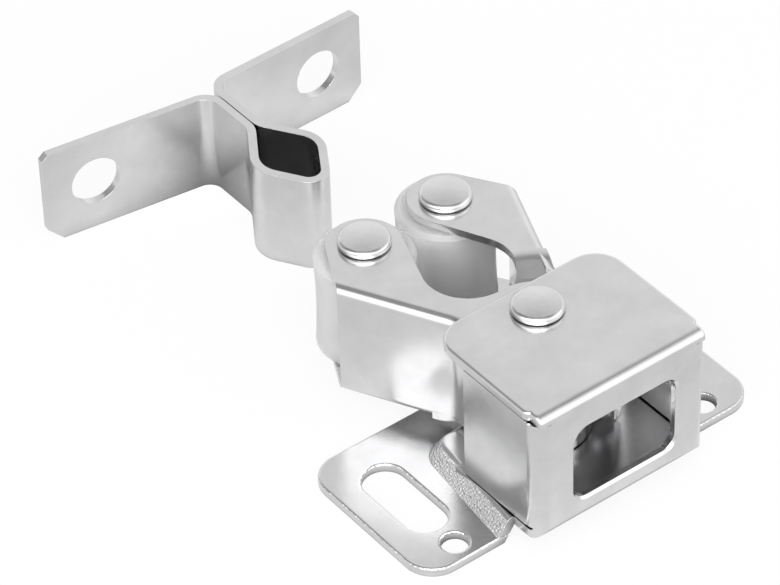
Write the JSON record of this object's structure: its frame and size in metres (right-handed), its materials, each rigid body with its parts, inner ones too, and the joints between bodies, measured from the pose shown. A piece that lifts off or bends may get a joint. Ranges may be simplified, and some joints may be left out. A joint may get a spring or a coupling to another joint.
{
  "type": "double roller catch",
  "caption": "Sprung double roller catch for a cabinet door: two roller arms pivot in a folded steel housing and grip the folded loop of a separate strike.",
  "frame": {"origin": "on the mounting plane, midway between the two mounting slots", "axes": "+X along the base, +Y from the back wall towards the strike, +Z away from the mounting plane"},
  "size_m": [0.038, 0.063, 0.0169],
  "materials": {
    "housing_steel": "bright zinc plate on pressed steel",
    "arm_steel": "bright zinc plate on pressed steel",
    "rivet_steel": "bright zinc plate, struck heads",
    "spring_wire": "drawn spring wire",
    "strike_steel": "zinc plate on folded strip",
    "roller_plastic": "matte white moulded plastic"
  },
  "bodies": {
    "housing": {"housing": "housing_steel", "pivot_rivet": "rivet_steel", "spring": "spring_wire"},
    "arm_left": {"arm_left": "arm_steel", "roller_rivet_left": "rivet_steel"},
    "arm_right": {"arm_right": "arm_steel", "roller_rivet_right": "rivet_steel"},
    "roller_left": {"roller_left": "roller_plastic"},
    "roller_right": {"roller_right": "roller_plastic"},
    "strike": {"strike": "strike_steel"}
  },
  "joints": [
    {"name": "arm_left_hinge", "type": "hinge", "parent": "housing", "child": "arm_left", "pos_m": [0, -0.0011, 0.0088], "axis": [0, 0, 1], "range_deg": [0, 20], "stiffness_Nm_per_rad": 0.08, "springref_deg": -20.05, "deforming": ["spring"]},
    {"name": "arm_right_hinge", "type": "hinge", "parent": "housing", "child": "arm_right", "pos_m": [0, -0.0011, 0.0088], "axis": [0, 0, -1], "range_deg": [0, 20], "stiffness_Nm_per_rad": 0.08, "springref_deg": -20.05, "deforming": ["spring"]},
    {"name": "roller_left_spin", "type": "hinge", "parent": "arm_left", "child": "roller_left", "pos_m": [-0.00562, 0.01646, 0.009], "axis": [0, 0, 1], "continuous": true},
    {"name": "roller_right_spin", "type": "hinge", "parent": "arm_right", "child": "roller_right", "pos_m": [0.00397, 0.0169, 0.009], "axis": [0, 0, 1], "continuous": true},
    {"name": "strike_slide", "type": "slide", "parent": "housing", "child": "strike", "axis": [0, -1, 0], "range_m": [0, 0.0098]}
  ]
}
